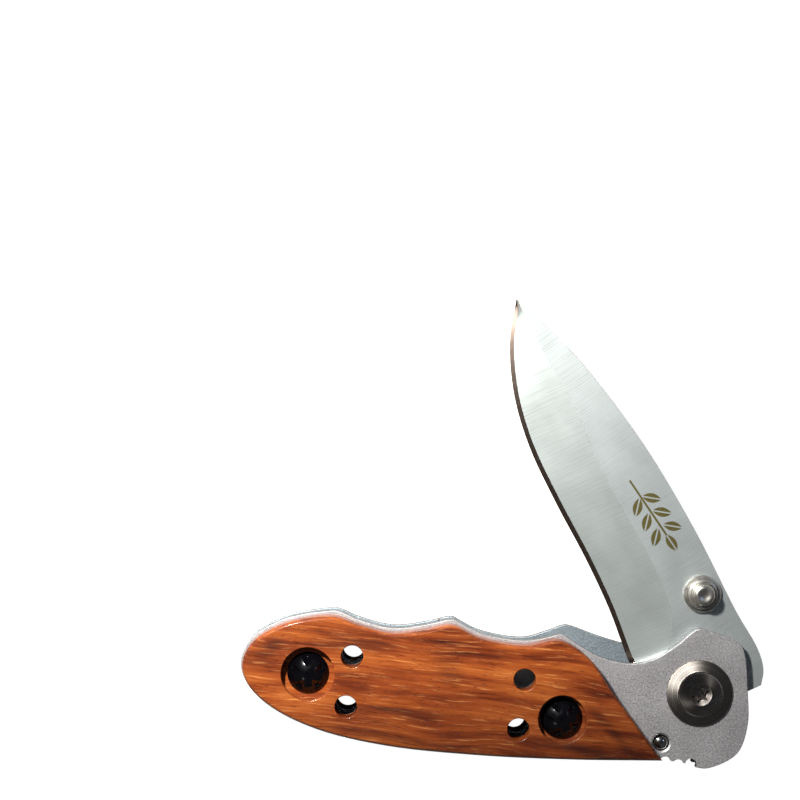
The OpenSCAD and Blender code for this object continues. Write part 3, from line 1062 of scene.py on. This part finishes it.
@dataclass
class Liners:
    """The two liners and the lock leaf: blasted plates with a bright broken edge."""

    break_width: float = 0.17
    level: float = 0.005  # how near to a face an edge lies to be its rim
    wall_tilt: float = 0.3  # upward share of a wall's normal, at most
    notch_x: tuple[float, float] = (-7.6, -0.2)
    notch_y: float = -10.9

    def in_notch(self, edge: bmesh.types.BMEdge) -> bool:
        """Tells whether an edge lies at the thumb notches, whose teeth are too fine to ease."""
        start, end = self.notch_x
        return any(start < v.co.x < end and v.co.y < self.notch_y for v in edge.verts)

    def build(self) -> None:
        """Builds each plate from its CAD shape and breaks its edges."""
        plates = (
            ("front_liner", LINER, Body.HANDLE),
            ("back_liner", INNER_LINER, Body.HANDLE),
            ("lock_leaf", INNER_LINER, Body.LEAF),
        )
        for node, finish, body in plates:
            bm = Bench.copy_of(node, weld=0.02)
            low, high = Bench.span(node)
            Bench.eased(
                bm,
                self.break_width,
                pick=lambda e, ends=(low.z, high.z): not self.in_notch(e)
                and any(all(abs(v.co.z - z) < self.level for v in e.verts) for z in ends),
            )
            for face in bm.faces:
                face.material_index = int(abs(face.normal.z) < self.wall_tilt)
            Bench.piece(f"{node}_plate", bm, [finish, CUT_EDGE], body, "liner_steel", [node])


@dataclass
class Blade:
    """The blade: ground flats, the finer grind below them, and the honed edge."""

    flat_slope: float = 1.0
    wall_slope: float = 60.0
    edge_half: float = 0.9
    back_break: float = 0.09
    level: float = 0.005  # how near to a flat an edge lies to be its rim

    def build(self) -> None:
        """Builds the blade from its CAD shape and gives each facet its own finish."""
        bm = Bench.copy_of("blade")
        low, high = Bench.span("blade")
        middle = (low.z + high.z) / 2
        for face in bm.faces:
            slope = math.degrees(math.acos(min(1.0, abs(face.normal.z))))
            outer = max(abs(v.co.z - middle) for v in face.verts)
            if slope < self.flat_slope:
                face.material_index = 0
            elif slope > self.wall_slope:
                face.material_index = 3
            elif outer < self.edge_half:
                face.material_index = 2
            else:
                face.material_index = 1
        Bench.eased(
            bm,
            self.back_break,
            pick=lambda e: any(
                all(abs(v.co.z - z) < self.level for v in e.verts) for z in (low.z, high.z)
            ),
        )
        Bench.piece(
            "blade_steel_body",
            bm,
            [FLAT, GRIND, EDGE_DARK_REFLECTION, SPINE],
            Body.BLADE,
            "blade_steel",
            ["blade"],
            crisp=25,
        )


@dataclass
class Stud:
    """The thumb stud: a foot, two grooved steps and a cap with a turned dimple."""

    bore_r: float = 0.6
    shank_r: float = 1.0
    steps: int = 96

    def build(self) -> None:
        """Spins the stud and sets it on the blade."""
        low, high = Bench.span("thumb_stud")
        middle = (low + high) / 2
        r = (high.x - low.x) / 2
        face = Bench.span("blade")[1].z
        h = high.z - face
        profile = [
            (self.bore_r, low.z - face),
            (self.shank_r, low.z - face),
            (self.shank_r, 0.0),
            (r - 0.08, 0.0),
            (r, 0.1),
            (r, 0.16 * h),
            (r - 0.16, 0.22 * h),
            (0.86 * r, 0.24 * h),
            (0.83 * r, 0.2 * h),
            (0.8 * r, 0.24 * h),
            (0.79 * r, 0.4 * h),
            (0.74 * r, 0.5 * h),
            (0.68 * r, 0.52 * h),
            (0.62 * r, 0.47 * h),
            (0.57 * r, 0.52 * h),
            (0.56 * r, 0.8 * h),
            (0.53 * r, 0.9 * h),
            (0.47 * r, 0.97 * h),
            (0.4 * r, h),
            (0.3 * r, 0.99 * h),
            (0.22 * r, 0.95 * h),
            (0.1 * r, 0.93 * h),
            (0.0, 0.925 * h),
        ]
        lined = [*profile, (0.0, 0.0), (self.bore_r, 0.0), profile[0]]
        bm = Bench.spun(lined, self.steps)
        Bench.moved(bm, middle.x, middle.y, face)
        Bench.piece(
            "thumb_stud_turned", bm, [TUMBLED], Body.BLADE, "polished_steel", ["thumb_stud"], 28
        )
        Bench.dress_node("thumb_stud_screw", DARK_STEEL)


@dataclass
class Pivot:
    """The pivot: a sloped head with a six-lobe socket in front and a plain one behind."""

    rim: float = 0.2
    face_r: float = 3.85
    sink_r: float = 1.95
    sink_depth: float = 0.55
    sink_floor_r: float = 0.9
    socket_r: float = 1.7
    socket_depth: float = 1.9
    lobe: float = 0.37
    lobe_turn: float = 18.0
    lobe_steps: int = 72
    thread_r: float = 1.5
    sleeve_r: float = 2.5
    sleeve_depth: float = 6.5

    def head(self, base: float, top: float, r: float) -> list[tuple[float, float]]:
        """Profile of a head from its rim to its middle, above its seat."""
        h = top - base
        return [
            (r - 0.05, base),
            (r, base + 0.06),
            (r, base + self.rim),
            (r - 0.08, base + self.rim + 0.1),
            (self.face_r + 0.14, base + h - 0.1),
            (self.face_r + 0.05, base + h - 0.12),
            (self.face_r - 0.04, base + h - 0.02),
            (self.face_r - 0.1, base + h),
        ]

    def socket(self, top: float) -> Mesh:
        """The six-lobe socket as a closed tool that reaches above the head."""
        bm = bmesh.new()
        circle = bmesh.ops.create_circle(
            bm, cap_ends=True, radius=1.0, segments=self.lobe_steps
        )
        ring = circle["verts"]
        for v in ring:
            angle = math.atan2(v.co.y, v.co.x)
            tip = (1 - abs(math.sin(3 * angle))) ** 1.3
            reach = self.socket_r * (1 - self.lobe + self.lobe * tip)
            v.co = reach * v.co
            v.co.z = top - self.socket_depth
        made = bmesh.ops.extrude_face_region(bm, geom=bm.faces[:])["geom"]
        up = [v for v in made if isinstance(v, bmesh.types.BMVert)]
        bmesh.ops.translate(bm, vec=(0, 0, self.socket_depth + 1), verts=up)
        bmesh.ops.recalc_face_normals(bm, faces=bm.faces)
        return Bench.moved(bm, 0, 0, 0, self.lobe_turn)

    def build(self) -> None:
        """Builds both heads with their shafts."""
        low, high = Bench.span("pivot_screw")
        base = Bench.span("front_liner")[1].z
        r = (high.x - low.x) / 2
        profile = [
            (0.0, low.z),
            (self.thread_r - 0.2, low.z),
            (self.thread_r, low.z + 0.2),
            (self.thread_r, base),
            *self.head(base, high.z, r),
            (self.sink_r + 0.08, high.z),
            (self.sink_r, high.z - 0.04),
            (self.sink_floor_r, high.z - self.sink_depth),
            (0.0, high.z - self.sink_depth),
        ]
        bm = Bench.cut(Bench.spun(profile), self.socket(high.z))
        Bench.piece(
            "pivot_screw_turned", bm, [PIVOT_FACE], Body.HANDLE, "turned_steel", ["pivot_screw"], 24
        )

        low, high = Bench.span("pivot_barrel")
        base = Bench.span("back_liner")[0].z
        floor = high.z - self.sleeve_depth
        middle = (base + low.z) / 2
        head = [(x, 2 * middle - z) for x, z in self.head(low.z, base, r)]
        profile = [
            (0.0, low.z),
            *reversed(head),
            (self.sleeve_r, base),
            (self.sleeve_r, high.z),
            (self.thread_r, high.z),
            (self.thread_r, floor),
            (0.0, floor),
        ]
        bm = Bench.spun(profile)
        Bench.piece(
            "pivot_barrel_turned",
            bm,
            [PIVOT_FACE],
            Body.HANDLE,
            "turned_steel",
            ["pivot_barrel"],
            24,
        )
        for node in ("front_washer", "back_washer"):
            Bench.dress_node(node, BRONZE)


@dataclass
class StopPin:
    """The stop pin: a polished dome that stands a little out of its ring."""

    dome_r: float = 1.24
    dome_h: float = 0.75
    groove: float = 1.1

    def build(self) -> None:
        """Spins the pin with a rounded end."""
        low, high = Bench.span("stop_pin")
        r = (high.x - low.x) / 2
        face = Bench.span("front_liner")[1].z
        floor = face - self.groove
        foot = high.z - self.dome_h
        curve = [
            (self.dome_r * math.cos(a), foot + self.dome_h * math.sin(a))
            for a in (math.radians(x) for x in range(0, 91, 10))
        ]
        profile = [
            (0.0, low.z),
            (r - 0.15, low.z),
            (r, low.z + 0.15),
            (r, floor),
            (self.dome_r, floor),
            *curve[:-1],
            (0.0, high.z),
        ]
        bm = Bench.spun(profile, 64)
        middle = (low + high) / 2
        Bench.moved(bm, middle.x, middle.y)
        Bench.piece(
            "stop_pin_polished", bm, [POLISHED], Body.HANDLE, "polished_steel", ["stop_pin"], 40
        )


@dataclass
class ScaleScrews:
    """The black domed screws: five V-cut pockets round the crown, each with a small bead."""

    pockets: int = 5
    turns: dict[str, float] = field(default_factory=lambda: {"tail": 92.0, "middle": 112.0})
    pocket_steps: tuple[tuple[float, float], ...] = ((0.54, 0.66), (0.66, 0.34))
    wall_lean: float = 1.1
    pocket_spread: float = 1.7
    bead_at: float = 0.76
    bead_r: float = 0.17
    bead_rise: float = 0.42
    drill_tip_r: float = 0.05
    drill_top_r: float = 0.75
    drill_l: float = 0.7
    drill_lift: float = 0.12
    thread_r: float = 1.25
    dome_h: float = 1.9
    seat_depth: float = 2.0
    tool_rise: float = 1.4

    def dome(self, r: float, h: float, z: float, low: float) -> Mesh:
        """The domed head with its thread, before its pockets are cut."""
        ball = (r * r + h * h) / (2 * h)
        rise = [
            (x, z + math.sqrt(ball * ball - x * x) - ball + h)
            for x in (r * math.sin(math.radians(a)) for a in range(78, 0, -6))
        ]
        profile = [
            (0.0, low),
            (self.thread_r - 0.15, low),
            (self.thread_r, low + 0.15),
            (self.thread_r, z),
            (r - 0.05, z),
            (r, z + 0.05),
            *rise,
            (0.0, z + h),
        ]
        return Bench.spun(profile, 80)

    def pocketed(self, bm: Mesh, r: float, h: float, z: float, turn: float) -> Mesh:
        """Cuts the V-shaped pockets into a dome, in two steps each, and drills its centre."""
        for step_in, floor in self.pocket_steps:
            for i in range(self.pockets):
                tool = bmesh.new()
                reach, rise = 2 * r, self.tool_rise
                bmesh.ops.create_cone(
                    tool,
                    cap_ends=True,
                    segments=4,
                    radius1=reach,
                    radius2=reach + self.wall_lean * rise,
                    depth=rise,
                )
                bmesh.ops.scale(tool, vec=(1.0, self.pocket_spread, 1.0), verts=tool.verts)
                middle = (step_in * r + reach, 0, z + floor * h + rise / 2)
                bmesh.ops.translate(tool, vec=middle, verts=tool.verts)
                Bench.moved(tool, 0, 0, 0, turn + 360 * i / self.pockets)
                bm = Bench.cut(bm, tool)
        drill = bmesh.new()
        bmesh.ops.create_cone(
            drill,
            cap_ends=True,
            segments=6,
            radius1=self.drill_tip_r,
            radius2=self.drill_top_r,
            depth=self.drill_l,
        )
        bmesh.ops.translate(drill, vec=(0, 0, z + h + self.drill_lift), verts=drill.verts)
        return Bench.cut(bm, drill)

    def build(self) -> None:
        """Builds the four screws."""
        for place, turn in self.turns.items():
            node = f"front_{place}_screw"
            low, high = Bench.span(node)
            middle, r = (low + high) / 2, (high.x - low.x) / 2
            seat = Bench.span("front_scale")[1].z - self.seat_depth
            for side in ("front", "back"):
                bm = self.dome(r, self.dome_h, seat, low.z)
                bm = self.pocketed(bm, r, self.dome_h, seat, turn)
                beads = []
                for i in range(self.pockets):
                    bead = bmesh.new()
                    bmesh.ops.create_uvsphere(
                        bead, u_segments=16, v_segments=10, radius=self.bead_r
                    )
                    at = (self.bead_at * r, 0, seat + self.bead_rise * self.dome_h)
                    bmesh.ops.translate(bead, vec=at, verts=bead.verts)
                    beads.append(Bench.moved(bead, 0, 0, 0, turn + 360 * i / self.pockets))
                bm = Bench.joined([bm, *beads])
                Bench.moved(bm, middle.x, middle.y)
                if side == "back":
                    knife = Bench.span("back_scale")[0].z + Bench.span("front_scale")[1].z
                    Bench.flipped(bm, knife / 2)
                Bench.piece(
                    f"{side}_{place}_screw_cut",
                    bm,
                    [BLACK],
                    Body.HANDLE,
                    "black_steel",
                    [f"{side}_{place}_screw"],
                    22,
                )


@dataclass
class Inside:
    """What sits between the liners and under the scales, kept as the CAD has it."""

    finishes: dict[str, Finish] = field(
        default_factory=lambda: {
            "backspacer": SPACER,
            "detent_ball": POLISHED,
            "front_spacer_screws": DARK_STEEL,
            "back_spacer_screws": DARK_STEEL,
        }
    )

    def build(self) -> None:
        """Gives each kept node its finish."""
        for node, finish in self.finishes.items():
            Bench.dress_node(node, finish)


@dataclass
class Studio:
    """A pale floor, a soft room with one crisp light, and the camera straight above."""

    view_mm: float = 142.6
    height_mm: float = 300.0
    plane_mm: float = 8.0
    centre_mm: tuple[float, float] = (-53.1, 52.0)
    sensor_mm: float = 36.0
    floor_mm: float = 3000.0
    aim_mm: tuple[float, float, float] = (-30.0, 20.0, 0.0)
    room_strength: float = 0.08

    def floor(self) -> None:
        """Lays the floor under the knife."""
        bm = bmesh.new()
        bmesh.ops.create_grid(bm, x_segments=2, y_segments=2, size=self.floor_mm / 2 * MM)
        mesh = bpy.data.meshes.new("floor")
        bm.to_mesh(mesh)
        bm.free()
        # white paper that glows for the camera alone, so that no shadow shows on it
        made = bpy.data.materials.new("matt_white_paper")
        made.use_nodes = True
        tree = made.node_tree
        shader = tree.nodes["Principled BSDF"]
        shader.inputs["Base Color"].default_value = linear("#b9b4ae")
        shader.inputs["Roughness"].default_value = 0.9
        shader.inputs["Emission Color"].default_value = (1.0, 1.0, 1.0, 1.0)
        seen = add_node(tree, "ShaderNodeLightPath").outputs["Is Camera Ray"]
        tree.links.new(seen, shader.inputs["Emission Strength"])
        mesh.materials.append(made)
        floor = bpy.data.objects.new("floor", mesh)
        bpy.context.scene.collection.objects.link(floor)

    def camera(self) -> None:
        """Sets the camera over the knife, looking straight down."""
        data = bpy.data.cameras.new("camera")
        data.sensor_width = self.sensor_mm
        data.lens = self.sensor_mm * self.height_mm / self.view_mm
        data.clip_start, data.clip_end = 0.01, 10.0
        camera = bpy.data.objects.new("camera", data)
        x, y = self.centre_mm
        camera.location = Vector((x, y, self.plane_mm + self.height_mm)) * MM
        bpy.context.scene.collection.objects.link(camera)
        bpy.context.scene.camera = camera

    def light(
        self, name: str, at: tuple[float, float, float], size: float, watts: float, colour: str
    ) -> None:
        """Hangs one square light that looks at the handle.

        Args:
            name: The light's name.
            at: Its place, in millimetres.
            size: Length of its side, in millimetres.
            watts: Its power.
            colour: Its hex colour.
        """
        data = bpy.data.lights.new(name, "AREA")
        data.size, data.energy, data.color = size * MM, watts, linear(colour)[:3]
        made = bpy.data.objects.new(name, data)
        made.location = Vector(at) * MM
        aim = Vector(self.aim_mm) * MM - made.location
        made.rotation_euler = aim.to_track_quat("-Z", "Y").to_euler()
        bpy.context.scene.collection.objects.link(made)

    def room(self) -> None:
        """Lights the room: brightest halfway up, darker overhead and at the horizon."""
        world = bpy.data.worlds.new("room")
        world.use_nodes = True
        bpy.context.scene.world = world
        tree = world.node_tree
        tree.nodes.clear()
        way = add_node(tree, "ShaderNodeTexCoord").outputs["Generated"]
        up = add_node(tree, "ShaderNodeSeparateXYZ", links={"Vector": way}).outputs["Z"]
        tone = add_node(
            tree,
            "ShaderNodeValToRGB",
            links={"Fac": up},
            stops=((0.0, "#7d7a78"), (1.0, "#8b8e92"), (0.5, "#d9dcdf"), (0.85, "#dcdfe2")),
        )
        light = add_node(
            tree,
            "ShaderNodeBackground",
            values={"Strength": self.room_strength},
            links={"Color": tone.outputs["Color"]},
        )
        add_node(
            tree, "ShaderNodeOutputWorld", links={"Surface": light.outputs["Background"]}
        )

    def build(self) -> None:
        """Builds the whole studio."""
        self.floor()
        self.camera()
        self.room()
        self.light("key", (-125.0, 135.0, 160.0), 18.0, 1.25, "#fffcf7")
        self.light("ceiling", (-150.0, 210.0, 420.0), 280.0, 0.07, "#f4f8ff")
        self.light("window", (330.0, 170.0, 520.0), 110.0, 0.1, "#b9cfff")
        self.light("lamp", (-330.0, -330.0, 560.0), 70.0, 0.06, "#fff0dd")
        bpy.context.scene.view_settings.view_transform = "Standard"


def main() -> None:
    """Builds the knife and its studio."""
    logging.basicConfig(level=logging.INFO, format="%(message)s")
    parts = (Scales(), Liners(), Blade(), Stud(), Pivot(), StopPin(), ScaleScrews(), Inside())
    for part in parts:
        log.info("building %s", type(part).__name__)
        part.build()
    Studio().build()
    bpy.context.view_layer.update()


if __name__ == "__main__":
    main()
